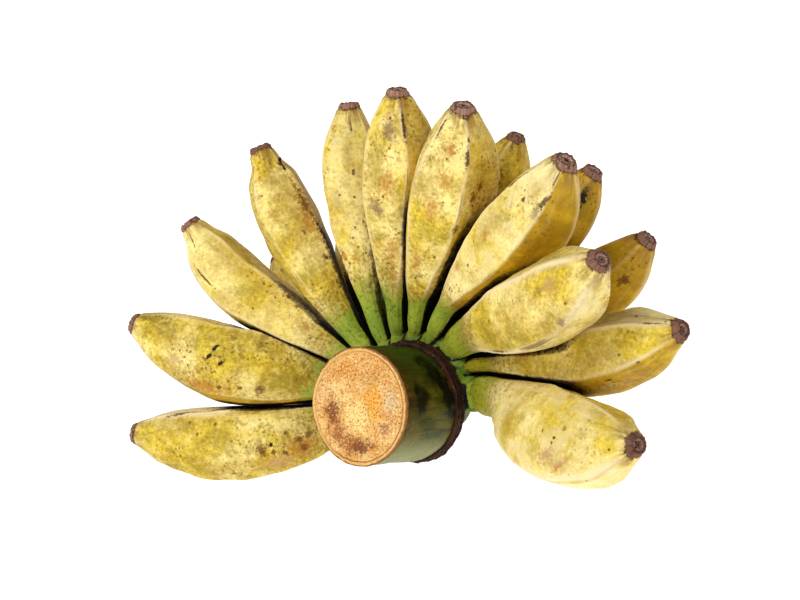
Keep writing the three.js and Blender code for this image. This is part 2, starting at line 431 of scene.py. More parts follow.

# ridges: degrees round from the front (to the right on an upright finger), how dry and pale the ridge
# is, and the tone of the facet that follows it, from -1 for ochre to 1 for pale beige. These tones are
# partly the peel's own colour, partly painted shade on facets turned from the light and painted light on
# facets turned to it.
# marks: share of the way along, degrees round, millimetres across and along, degrees of tilt if any.
# green: metres from the foot where the stem's green gives way. dull: how olive and dirty it is.
# beak: how far the peel is drawn in behind the tip, as a share of its radius.
# end: how wide the tip's end is, as a share of the plain shape's. burnt: how dark the tip has dried.
# ripe: how yellow the stem has turned. bulges: share of the way along, degrees round, rise and reach.
fingerLooks = {
    "front_finger_1": {
        "green": 0.034, "dull": 0.7, "end": 1, "bulges": [(0.26, -70, 0.0035, 0.02)],
        "ridges": [(-130, 0.3, -0.5), (-68, 0.4, -0.1), (62, 1, 0.8), (130, 0.4, 0)],
        "marks": {
            "brown": [(0.45, -15, 9, 6, 20), (0.31, -15, 6, 5), (0.41, -25, 4, 3), (0.37, -30, 5, 3, 30),
                (0.72, 45, 2.5, 2), (0.61, 40, 2.5, 2), (0.68, 25, 2, 2), (0.27, -10, 6, 8),
                (0.3, -35, 6, 5), (0.35, 5, 4, 4)],
            "black": [(0.41, -10, 2.4, 2)],
            "scar": [(0.77, 62, 2, 22, 8), (0.57, 70, 3, 26, 6)],
            "rust": [(0.3, -30, 16, 20)],
            "mauve": [(0.4, -45, 12, 20)],
            "olive": [(0.6, 20, 10, 16)],
            "umber": [(0.33, -20, 30, 34), (0.62, -40, 14, 60)],
            "specks": [(0.36, -25, 26, 36), (0.55, -40, 16, 30)],
        }},
    "front_finger_2": {
        "green": 0.039, "dull": 0.9, "end": 1, "bulges": [(0.38, 85, 0.0035, 0.03)],
        "ridges": [(-160, 0.3, -0.2), (-90, 0.4, -0.7), (-28, 0.5, 0), (75, 0.6, 0.4), (140, 0.4, 0)],
        "marks": {
            "brown": [(0.69, 0, 1.6, 1.6), (0.7, 20, 1.6, 1.6), (0.64, 20, 1.4, 1.8), (0.42, -10, 5, 6),
                (0.49, -10, 2, 3), (0.56, -15, 2, 3)],
            "black": [(0.61, 40, 2.4, 3.8, 55), (0.62, 25, 2.2, 5, 60), (0.57, 20, 2.4, 3.8, 50)],
            "rust": [(0.61, -20, 6, 26)],
            "mauve": [(0.75, 0, 7, 8)],
            "olive": [(0.69, 35, 8, 10), (0.91, 35, 6, 9), (0.35, 10, 8, 12)],
            "umber": [(0.34, 5, 24, 26), (0.62, -25, 14, 80), (0.8, 25, 14, 20)],
            "specks": [(0.6, -20, 12, 70), (0.74, 20, 16, 22), (0.44, 45, 10, 24)],
        }},
    "front_finger_3": {
        "green": 0.031, "dull": 0.05, "beak": 0.17, "end": 1, "bulges": [(0.36, -85, 0.0025, 0.03)],
        "ridges": [(-165, 0.3, 0), (-112, 0.6, 0), (-20, 0.7, 0.1), (75, 0.6, -0.4), (140, 0.4, 0)],
        "marks": {
            "brown": [(0.46, 70, 3, 4), (0.41, 65, 3, 5, 20), (0.55, 10, 1.8, 1.8)],
            "scar": [(0.78, -5, 1.6, 20, 6), (0.94, 10, 2, 12)],
            "rust": [(0.33, 40, 5, 8)],
            "mauve": [(0.49, -45, 4, 24)],
            "olive": [(0.62, 30, 10, 14)],
            "umber": [(0.72, 55, 12, 50), (0.32, 30, 16, 16)],
            "specks": [(0.55, 60, 10, 50), (0.3, 20, 14, 16)],
        }},
    "front_finger_4": {
        "green": 0.038, "dull": 0.75, "beak": 0.21, "end": 0.97, "burnt": 0.6,
        "ridges": [(-140, 0.3, 0), (-70, 0.4, 0), (-5, 0.4, -0.1), (88, 0.5, -0.7), (150, 0.3, -0.2)],
        "marks": {
            "brown": [(0.32, 90, 6, 14), (0.72, 82, 6, 26), (0.66, 30, 2, 2), (0.6, 55, 2.5, 4, 20)],
            "scar": [(0.91, 80, 2.5, 3.5, 30)],
            "rust": [(0.65, 74, 8, 26), (0.36, 60, 3, 5), (0.88, 10, 3, 5)],
            # the two long burn strips on this finger's right side are painted shade in the gap beside
            # front_finger_5; the two small ones are burn spots
            "burn": [(0.4, 100, 9, 52, 3), (0.56, 88, 3, 22, 3), (0.47, 75, 3, 4), (0.36, 75, 2, 3)],
            "olive": [(0.78, 25, 8, 8), (0.45, 30, 10, 12)],
            "umber": [(0.66, 55, 22, 60), (0.86, 40, 14, 20), (0.3, 40, 16, 16)],
            "specks": [(0.62, -30, 8, 22), (0.42, 80, 12, 44)],
        }},
    "front_finger_5": {
        "green": 0.04, "dull": 0.5, "end": 0.9, "burnt": 0.1,
        "ridges": [(-110, 0.4, -0.1), (-30, 0.5, 0.3), (80, 0.6, -0.6), (150, 0.3, -0.2)],
        "marks": {
            "brown": [(0.53, 50, 1.8, 1.8), (0.51, 30, 1.8, 1.8), (0.47, 20, 1.6, 1.6),
                (0.26, 70, 2.4, 3), (0.3, -10, 3, 3), (0.43, 30, 1.6, 1.6), (0.4, 40, 1.6, 1.6)],
            "scar": [(0.74, 40, 2.4, 4.6, 10), (0.93, 40, 1.6, 9, 10), (0.27, 45, 3, 4)],
            "rust": [(0.4, -15, 5, 9, 10), (0.39, 15, 6, 7), (0.34, -20, 4, 4)],
            # the burn marks on this finger's left side are painted shade in the gap beside front_finger_4
            "burn": [(0.36, -38, 4, 12, 10), (0.33, -28, 2, 3), (0.41, -36, 2, 3), (0.45, -40, 2, 4),
                (0.41, -30, 2, 5, 20)],
            "bruise": [(0.94, 35, 3, 12, 15)],
            "olive": [(0.29, 10, 8, 12), (0.69, 20, 8, 10)],
            "umber": [(0.8, 30, 10, 20), (0.62, 0, 8, 14)],
            "specks": [(0.37, -20, 16, 26), (0.3, 40, 12, 20)],
        }},
    "front_finger_6": {
        "green": 0.036, "dull": 0.85, "end": 0.86, "burnt": 0,
        "bulges": [(0.32, 95, 0.003, 0.022), (0.32, -90, 0.0015, 0.02)],
        "ridges": [(-100, 0.3, -0.2), (-28, 0.5, -0.1), (46, 0.6, -0.45), (110, 0.5, -0.5),
            (175, 0.3, 0)],
        "marks": {
            "scar": [(0.92, 15, 1.8, 1.8), (0.9, 46, 2.4, 16)],
            "rust": [(0.68, 15, 9, 16), (0.42, 25, 10, 16), (0.3, 30, 7, 9)],
            "bruise": [(0.88, 15, 10, 14, 10), (0.93, 46, 3.4, 30), (0.58, -5, 9, 11, 30)],
            "mauve": [(0.93, 10, 5, 7)],
            "olive": [(0.78, -10, 8, 10)],
            "umber": [(0.75, -5, 12, 24), (0.33, 15, 16, 20)],
            "specks": [(0.34, 10, 14, 24), (0.92, 10, 14, 12)],
        }},
    "front_finger_7": {
        "green": 0.034, "dull": 0.8, "end": 0.93, "burnt": 0, "bulges": [(0.33, -75, 0.0025, 0.022)],
        "ridges": [(-95, 0.5, -0.1), (-25, 0.7, 0), (48, 0.6, -0.45), (115, 0.5, -0.5), (180, 0.3, 0)],
        "marks": {
            "brown": [(0.69, 25, 1.6, 1.8), (0.85, 15, 1.6, 1.8), (0.76, 75, 3, 5), (0.72, 65, 3, 6, 20),
                (0.6, 50, 3, 7), (0.61, 70, 2.4, 4), (0.45, 35, 2, 2.4)],
            "scar": [(0.92, 50, 2.4, 3), (0.86, 48, 2.4, 12), (0.94, -20, 2, 12)],
            "rust": [(0.88, 20, 6, 8), (0.77, 20, 7, 11), (0.64, 10, 8, 18), (0.4, 0, 8, 16)],
            "olive": [(0.94, 25, 6, 6), (0.55, 5, 9, 14)],
            "umber": [(0.88, 10, 12, 16), (0.7, -20, 10, 20)],
            "specks": [(0.72, 70, 12, 26), (0.34, 5, 14, 20), (0.45, 20, 8, 10)],
        }},
    "front_finger_8": {
        "green": 0.036, "dull": 0.2, "end": 0.95, "burnt": 0.1,
        "ridges": [(-120, 0.4, 0), (-48, 0.7, 0.4), (25, 0.6, -0.95), (90, 0.5, -0.7), (160, 0.3, 0)],
        "marks": {
            "brown": [(0.97, 25, 2, 10), (0.66, 55, 2, 2), (0.49, -10, 2, 2.4)],
            "scar": [(0.86, -10, 2.6, 3), (0.9, 25, 3.4, 10, -18), (0.88, -48, 2.4, 18)],
            "rust": [(0.65, -20, 5, 8), (0.42, -30, 7, 9)],
            "bruise": [(0.86, 20, 5, 9)],
            "olive": [(0.74, -20, 6, 6), (0.77, -10, 5, 5)],
            "umber": [(0.7, -25, 12, 40), (0.9, 0, 12, 14)],
            "specks": [(0.33, 0, 16, 24), (0.93, 30, 10, 14)],
        }},
    "front_finger_9": {
        "green": 0.03, "dull": 0.75, "end": 0.8, "burnt": 0.5, "ripe": 0.3,
        "ridges": [(-110, 0.5, 0.3), (-48, 1, -0.05), (50, 1, 0.5), (120, 0.4, -0.2), (-170, 0.3, -0.2)],
        "marks": {
            "brown": [(0.67, -20, 1.4, 1.4), (0.86, 30, 1.8, 1.8), (0.5, -5, 1.6, 1.6),
                (0.44, 45, 1.6, 18)],
            "bruise": [(0.8, 45, 4, 4)],
            "mauve": [(0.85, -15, 7, 11, 30)],
            "olive": [(0.95, 20, 7, 7), (0.55, 30, 8, 6), (0.45, 15, 14, 16), (0.62, 30, 12, 10)],
            "umber": [(0.86, -10, 14, 16), (0.48, 20, 20, 30), (0.75, 40, 12, 46)],
            "specks": [(0.38, -40, 12, 14)],
        }},
    "front_finger_10": {
        "green": 0.028, "dull": 0.4, "end": 0.76, "burnt": 0.6, "ripe": 0.9,
        "ridges": [(-110, 0.6, 0.7), (-45, 0.9, 0), (25, 0.7, -0.7), (95, 0.5, -0.5), (165, 0.3, -0.2)],
        "marks": {
            "brown": [(0.86, 30, 2, 4), (0.72, 40, 2, 5), (0.93, -45, 2.4, 12)],
            "rust": [(0.35, -20, 10, 14)],
            "bruise": [(0.6, -70, 4, 4)],
            "mauve": [(0.76, 60, 3, 8)],
            "olive": [(0.9, -15, 7, 8), (0.69, -10, 5, 4), (0.45, -5, 6, 8), (0.8, -20, 5, 5)],
            "umber": [(0.7, 0, 20, 40), (0.35, -5, 16, 20)],
            "specks": [(0.6, 60, 12, 70), (0.35, -20, 16, 24)],
        }},
    "front_finger_11": {
        "green": 0.024, "dull": 0.15, "end": 0.8, "burnt": 0.8, "ripe": 0.7,
        "ridges": [(-145, 0.4, 0.1), (-85, 0.7, 0.4), (35, 0.9, 0.6), (100, 0.5, 0.2), (170, 0.3, -0.3)],
        "marks": {
            "brown": [(0.67, -25, 1.4, 1.4), (0.3, -45, 2, 4, 30)],
            "scar": [(0.74, -20, 1.6, 2.4)],
            "rust": [(0.74, 20, 1.4, 11, 24)],
            "bruise": [(0.78, -35, 3, 3)],
            "mauve": [(0.76, 15, 3.4, 16, 24), (0.7, 5, 6, 14, 20)],
            "olive": [(0.85, -30, 6, 6), (0.7, -85, 4, 6), (0.53, -25, 6, 6), (0.42, -30, 3, 4)],
            "umber": [(0.72, 10, 10, 24), (0.45, -10, 14, 16)],
        }},
    "back_finger_3": {"tone": 0.3},
    "back_finger_6": {
        "tone": -0.1, "end": 0.72, "burnt": 0.5,
        "marks": {
            "brown": [(0.97, 20, 6, 5)],
            "olive": [(0.85, 10, 7, 9)],
        }},
    "back_finger_7": {
        "tone": -0.9, "end": 0.82,
        "marks": {
            "black": [(0.92, 35, 7, 10, 15)],
            "olive": [(0.9, 50, 5, 5)],
            "moss": [(0.93, 35, 11, 14)],
        }},
    "back_finger_8": {
        "tone": -1.05, "end": 0.82,
        "marks": {
            "brown": [(0.85, 35, 8, 8), (0.93, 20, 2, 3)],
            "umber": [(0.86, 10, 30, 40)],
            "specks": [(0.88, 20, 24, 34)],
        }},
}


def ringRound(hub):
    # the vertices round a pole, in order
    ring = [hub.link_edges[0].other_vert(hub)]
    while True:
        beside = [vert for face in ring[-1].link_faces if hub in face.verts for vert in face.verts]
        fresh = [vert for vert in beside if vert is not hub and vert not in ring]
        if not fresh:
            return ring
        ring.append(fresh[0])


def climb(ring, used):
    # the next ring, column by column: the vertex that each pair of neighbours shares
    upper = []
    for vert, beside in zip(ring, ring[1:] + ring[:1]):
        reach = {edge.other_vert(beside) for edge in beside.link_edges}
        shared = [edge.other_vert(vert) for edge in vert.link_edges
                  if edge.other_vert(vert) in reach and edge.other_vert(vert) not in used]
        upper.append(shared[0])
    return upper


def ringsFrom(foot, tip):
    # rings from the foot to the tip; the columns run straight in one of the two ways round
    best = None
    for ring in (ringRound(foot), ringRound(foot)[::-1]):
        rings = [ring]
        used = {foot, *ring}
        length = 0
        while tip not in {edge.other_vert(rings[-1][0]) for edge in rings[-1][0].link_edges}:
            rings.append(climb(rings[-1], used))
            used.update(rings[-1])
            length += sum((a.co - b.co).length for a, b in zip(rings[-2], rings[-1]))
        if best is None or length < best[0]:
            best = (length, rings)
    return best[1]


def middleOf(verts):
    return sum((vert.co for vert in verts), Vector()) / len(verts)


def anglesOn(rings, centres):
    # degrees round from the front of every vertex of every ring
    angles = []
    for index, (ring, centre) in enumerate(zip(rings, centres)):
        before = centres[max(index - 1, 0)]
        after = centres[min(index + 1, len(rings) - 1)]
        tangent = (after - before).normalized()
        side = tangent.cross(handForward).normalized()
        face = side.cross(tangent)
        angles.append([math.atan2((vert.co - centre).dot(side), (vert.co - centre).dot(face))
                       for vert in ring])
    return np.array(angles)


def growTip(bm, cap, outwards, scarLayer):
    # the dried flower scar, from its edge inwards
    reach = 0
    total = sum(inset for inset, _ in tipShape["steps"])
    for inset, rise in tipShape["steps"]:
        bmesh.ops.inset_region(bm, faces=[cap], thickness=inset, depth=0, use_even_offset=True)
        reach += inset
        for vert in cap.verts:
            vert.co += outwards * rise
            vert[scarLayer] = 1 + reach / total


def neighbourhood(name):
    # everything a finger can grow against
    around = bmesh.new()
    for other, node in frame["nodes"].items():
        if "finger" in other and other != name:
            around.from_mesh(node.data)
    tree = BVHTree.FromBMesh(around)
    around.free()
    return tree


def peelBlank(name, around, end):
    # a CAD finger as clean quads, with what grows along and round it written on its vertices
    bm = bmesh.new()
    bm.from_mesh(frame["nodes"][name].data)
    bmesh.ops.remove_doubles(bm, verts=bm.verts, dist=1e-5)
    layers = bm.verts.layers
    grow = layers.float_vector.new("grow")
    arm = layers.float_vector.new("arm")
    swell = layers.float.new("swell")
    near = layers.float.new("near")
    scar = layers.float.new("scar")
    poles = [vert for vert in bm.verts if len(vert.link_edges) == peelShape["columns"]]
    foot, tip = sorted(poles, key=lambda vert: (vert.co - scarCentre).length)
    rings = ringsFrom(foot, tip)
    centres = [middleOf(ring) for ring in rings]
    for part, ring, centre in zip(tipShape["narrowed"], rings[::-1], centres[::-1]):
        for vert in ring:
            vert.co = centre.lerp(vert.co, 1 - (1 - end) * part)
    radii = [sum((vert.co - centre).length for vert in ring) / len(ring)
             for ring, centre in zip(rings, centres)]
    thin, thick = radii[1], max(radii)
    columns = peelShape["columns"]
    angles = anglesOn(rings, centres)

    # columns run straight, so each keeps one angle; the way round they go may be either
    even = math.tau / columns * np.arange(columns)
    leans = {sign: np.exp(1j * (angles - sign * even)).sum() for sign in (1, -1)}
    sign = max(leans, key=lambda key: abs(leans[key]))
    start = np.angle(leans[sign])
    full = [min(1, max(0, (radius - thin) / (thick - thin))) for radius in radii]
    stands = [sum(share * (ring[column].co - centre).length / radius
                  for ring, centre, radius, share in zip(rings, centres, radii, full) if share > 0.6)
              for column in range(columns)]
    between = columns // 5  # the plain shape has five ridges
    phase = max(range(between), key=lambda shift: sum(stands[shift::between]))

    girth = peelShape["girth"]
    low, high = peelShape["clearOf"]
    along = 0
    for index, (ring, centre) in enumerate(zip(rings, centres)):
        along += (centre - centres[index - 1]).length if index else 0
        for column, vert in enumerate(ring):
            angle = start + sign * even[column]
            vert[grow] = (girth * math.cos(angle), girth * math.sin(angle), along)
            vert[arm] = vert.co - centre
            vert[swell] = full[index]
            closest = around.find_nearest(vert.co)[3]
            vert[near] = 1 - min(1, max(0, (closest - low) / (high - low)))
    slanted = [edge for lower, upper in zip(rings, rings[1:]) for column, vert in enumerate(lower)
               for edge in vert.link_edges
               if edge.other_vert(vert) in upper and edge.other_vert(vert) is not upper[column]]
    bmesh.ops.dissolve_edges(bm, edges=slanted, use_verts=False)
    outwards = (centres[-1] - centres[-2]).normalized()
    bmesh.ops.dissolve_verts(bm, verts=[tip])
    cap = [face for face in rings[-1][0].link_faces if len(face.verts) == columns][0]
    for vert in rings[-1]:
        vert[scar] = 1
    growTip(bm, cap, outwards, scar)
    for vert in cap.verts:
        vert[arm] = (0, 0, 0)
    foot = centres[0]
    return bm, {
        "length": along, "tip": centres[-1].copy(),
        "cadRidge": math.degrees(start + sign * phase * even[1]),
        "root": (foot, (centres[1] - foot).normalized(), [vert.co - foot for vert in rings[0]])}


def outlineOf(ridges):
    # the section as a share of the radius at each whole degree: corners at the ridges, and facets
    # that lie in between them
    turns = sorted(ridge % 360 for ridge in ridges)
    outline = np.ones(360)
    for first, last in zip(turns, turns[1:] + [turns[0] + 360]):
        middle, half = (first + last) / 2, (last - first) / 2
        for degree in range(math.ceil(first), math.floor(last) + 1):
            inwards = 1 - (abs(degree - middle) / half) ** peelShape["facetRound"]
            depth = peelShape["facetDepth"] * min(1, half / peelShape["facetNarrow"])
            outline[degree % 360] = 1 - depth * inwards
    return outline


def evened(outline, reach):
    # the outline averaged over a few degrees either way
    return sum(np.roll(outline, shift) for shift in range(-reach, reach + 1)) / (2 * reach + 1)


def plainOutline(cadRidge):
    side = math.tau / 5
    degrees = np.radians(np.arange(360) - cadRidge)
    fromMiddle = degrees % side - side / 2
    flat = math.cos(side / 2) / np.cos(fromMiddle)
    return evened(1 + (flat - 1) * peelShape["cadSharpness"], 9)


plainLooks = {"tone": 0, "dull": 0.8, "beak": 0.05, "end": 0.85, "burnt": 0.3, "ripe": 0, "bulges": []}
strayMarks = {  # how many, smallest and largest in millimetres
    "olive": (3, 5, 11), "brown": (4, 1.5, 5), "rust": (2, 4, 9), "mauve": (1, 5, 10), "scar": (1, 1.5, 4)}


def looksFor(name, order):
    # what is known of a finger, filled up with what is drawn at random for it
    known = fingerLooks.get(name, {})
    draw = random.Random(order)
    looks = {"green": draw.uniform(0.028, 0.038), **plainLooks, **known}
    first = draw.uniform(0, 90)
    grown = [((first + 72 * corner + draw.uniform(-9, 9) + 180) % 360 - 180, draw.uniform(0.3, 0.7),
              draw.uniform(-0.35, 0.15) + looks["tone"]) for corner in range(5)]
    looks["ridges"] = sorted(known.get("ridges", grown))
    looks["marks"] = {kind: list(marks) for kind, marks in known.get("marks", {}).items()}
    turns = (100, 260) if "ridges" in known else (-180, 180)
    for kind, (count, smallest, largest) in strayMarks.items():
        for _ in range(count):
            size = draw.uniform(smallest, largest)
            turn = draw.uniform(*turns)
            looks["marks"].setdefault(kind, []).append((
                draw.uniform(0.3, 0.93), turn, size, size * draw.uniform(0.8, 2.2), draw.uniform(-40, 40)))
    return looks


def shadeOn(places, outwards, around, behind):
    # painted shade: 1 where a neighbour touches or faces a place, or the front row covers it, 0 in the open
    reach, gap, cover = shadeShape["touch"], shadeShape["gap"], shadeShape["cover"]
    aims = [(handForward + handRight * across + handUp * above).normalized()
            for across, above in shadeShape["coverAims"]]
    shade = np.zeros(len(places))
    for index, (place, way) in enumerate(zip(places, outwards)):
        place, way = Vector(place), Vector(way)
        nearest = around.find_nearest(place, reach)[3]
        start = place + way * shadeShape["clear"]
        facing = around.ray_cast(start, way, gap)[3]
        touched = 0 if nearest is None else 1 - nearest / reach
        faced = 0 if facing is None else shadeShape["gapStrength"] - shadeShape["gapFade"] * facing / gap
        covered = 0
        forward = way.dot(handForward)
        if behind and forward > 0:
            aheads = [around.ray_cast(start, aim, cover)[3] for aim in aims]
            shares = [0 if ahead is None else min(1, 2 - 2 * ahead / cover) for ahead in aheads]
            covered = shadeShape["coverStrength"] * min(1, forward * 3, sum(shares) / 3.5)
        shade[index] = max(touched, faced, covered)
    return shade


def grownOutline(turn, along, swell, scar, facts, looks):
    # how far out each place moves, as a share of its arm: the facets, and the stouter stem
    ridges = [ridge[0] for ridge in looks["ridges"]]
    target = evened(outlineOf(ridges), 3) * peelShape["fullness"]
    grown = np.interp(turn, np.arange(360), target / plainOutline(facts["cadRidge"]), period=360) - 1
    body = np.clip(swell * peelShape["neckEdge"], 0, 1)
    grown *= body * (1 - np.clip(scar * 2, 0, 1))
    onStem = (1 - body) * easedShare(along, *peelShape["stemSpan"]) * (along < facts["length"] * 0.5)
    return grown + peelShape["stemGirth"] * onStem


def ridgesOn(turn, radius, stray, ridges):
    # how much each place lies in a ridge's dry strip, and on its crest
    strip = np.zeros(len(turn))
    crest = np.zeros(len(turn))
    for ridge, dry, _ in ridges:
        away = np.radians(apart(turn, ridge)) * radius
        width = peelShape["ridgeWidth"] * (0.3 + 1.4 * dry * dry) * (1 + 0.35 * stray)
        strip = np.maximum(strip, min(1, dry * 1.1) * np.exp(-(away / width) ** 2))
        crest = np.maximum(crest, np.exp(-(away / peelShape["ridgeCrest"]) ** 2))
    return strip, crest


def tonesOn(turn, ridges):
    # the tone of the facets, changing over a few degrees at each ridge
    change = peelShape["toneTurn"]
    turns, tones = [], []
    before = ridges[-1][2]
    for ridge, _, tone in ridges:
        turns += [ridge - change, ridge + change]
        tones += [before, tone]
        before = tone
    return np.interp(turn, turns, tones, period=360)


def shadeAlong(places, outwards, share, around, behind):
    # painted shade, only on the part of a finger nearer the crown, and deepest near the foot
    low = share < shadeShape["upTo"][0]
    shade = np.zeros(len(places))
    shade[low] = shadeOn(places[low], outwards[low], around, behind)
    shade *= easedShare(share, *shadeShape["upTo"])
    return shade * (1 + shadeShape["deepen"] * easedShare(share, *shadeShape["deepest"]))


def shapeFinger(mesh, facts, looks, seed, around, behind):
    places, outwards = readPlaces(mesh), readNormals(mesh)
    grow, arm, swell = (readLayer(mesh, name) for name in ("grow", "arm", "swell"))
    near, scar = (np.clip(readLayer(mesh, name), 0, 1) for name in ("near", "scar"))
    along, fromEnd = grow[:, 2], facts["length"] - grow[:, 2]
    stray = np.array([noise.noise(Vector((0, seed, metres * 30))) for metres in along])
    turn = np.degrees(np.arctan2(grow[:, 1], grow[:, 0])) + peelShape["wander"] * stray
    grown = grownOutline(turn, along, swell, scar, facts, looks)
    places += arm * (grown * (1 - near))[:, None]

    # ridges, lumps, wrinkles, the drawn-in tip and bulges
    strip, crest = ridgesOn(turn, np.linalg.norm(arm, axis=1), stray, looks["ridges"])
    lumps = noiseAt(places, 38, seed) + 0.5 * noiseAt(places, 95, seed + 1)
    fluting = noiseAt(grow * np.array([1, 1, 0.12]), 420, seed + 2)
    height = crest * swell * peelShape["ridgeRise"] * (1 + lumps)
    height += lumps * peelShape["lumps"] * (0.25 + 0.75 * swell)
    height += fluting * peelShape["wrinkles"] * (0.9 - 0.4 * np.clip(swell * 1.4, 0, 1))
    height += scar * noiseAt(places, 700, seed + 3) * tipShape["rough"]
    middle, width, depth = tipShape["groove"]
    height -= depth * np.exp(-((fromEnd - middle) / width) ** 2)
    middle, width = tipShape["beak"]
    places -= arm * (looks["beak"] * np.exp(-((fromEnd - middle) / width) ** 2))[:, None]
    for middle, towards, rise, reach in looks["bulges"]:
        off = (along - middle * facts["length"]) / reach
        height += rise * np.exp(-(apart(turn, towards) / peelShape["bulgeTurn"]) ** 2 - off ** 2)
    places += outwards * (height * (1 - peelShape["pressed"] * near))[:, None]
    moveTo(mesh, places)

    # for the paint: painted shade in the gaps, the facet tones, the ridges' dry strips, the stem's green and
    # the tip
    for name, values in {
            "shade": shadeAlong(places, outwards, along / facts["length"], around, behind),
            "tone": tonesOn(turn, looks["ridges"]), "ridge": strip * np.clip(0.35 + swell * 2, 0, 1),
            "stem": along - looks["green"], "ending": fromEnd}.items():
        writeLayer(mesh, name, values)


def addFinger(name, order):
    around = neighbourhood(name)
    looks = looksFor(name, order)
    bm, facts = peelBlank(name, around, looks["end"])
    row = name.split("_")[0]
    mesh = smoothed(bm, name + "_peel", peelShape["levels"][row])
    shapeFinger(mesh, facts, looks, order * 10, around, row == "back")
    addPiece(mesh, name + "_peel", peelPaint(name + "_peel", facts, looks, order), name)
    return mesh, facts


peelColours = {
    # ochre, ochreDarkAndShade and pale are facet tones: partly the peel's own colour, partly painted shade
    # and painted light
    "cream": "f5e195", "sunny": "d9be36", "deep": "aa8924", "greenish": "9a892c", "pale": "efe0ae",
    "ochre": "c89f12", "ochreDarkAndShade": "a07c0c", "dry": "e5d3a6", "dryLine": "8c6a3c", "dirt": "7e6a2b",
    # gap and shadeFringe: painted shade where neighbours nearly touch, face or cover the peel
    "grit": "977c3a", "freckle": "744818", "dark": "40240f", "gap": "0f0a06", "shadeFringe": "3c1d0c",
    "stem": "869a38", "stemLight": "aab344", "stemDark": "33400f", "stemRipe": "978a1f",
    "tipStain": "8f6c38", "tipRim": "48291b", "tipRing": "d0ab96", "tipWall": "8a5a48", "tipCore": "2c130c",
}
markKinds = {  # colour, softness of the edge, strength
    # umber: wide, soft, darker zones
    "umber": ("98791f", 1.7, 0.55), "olive": ("9a8c38", 1.1, 0.5), "mauve": ("b58c66", 0.9, 0.65),
    "rust": ("ad742a", 1.0, 0.65), "bruise": ("77604e", 0.8, 0.65), "moss": ("5f6a25", 0.9, 0.6),
    # burn: dark burn spots, and painted shade in the gap between front_finger_4 and front_finger_5
    "burn": ("2e120c", 0.7, 0.92), "brown": ("6a4019", 0.8, 0.85), "scar": ("432612", 0.5, 0.85),
    "black": ("1f110d", 0.15, 0.97),
}


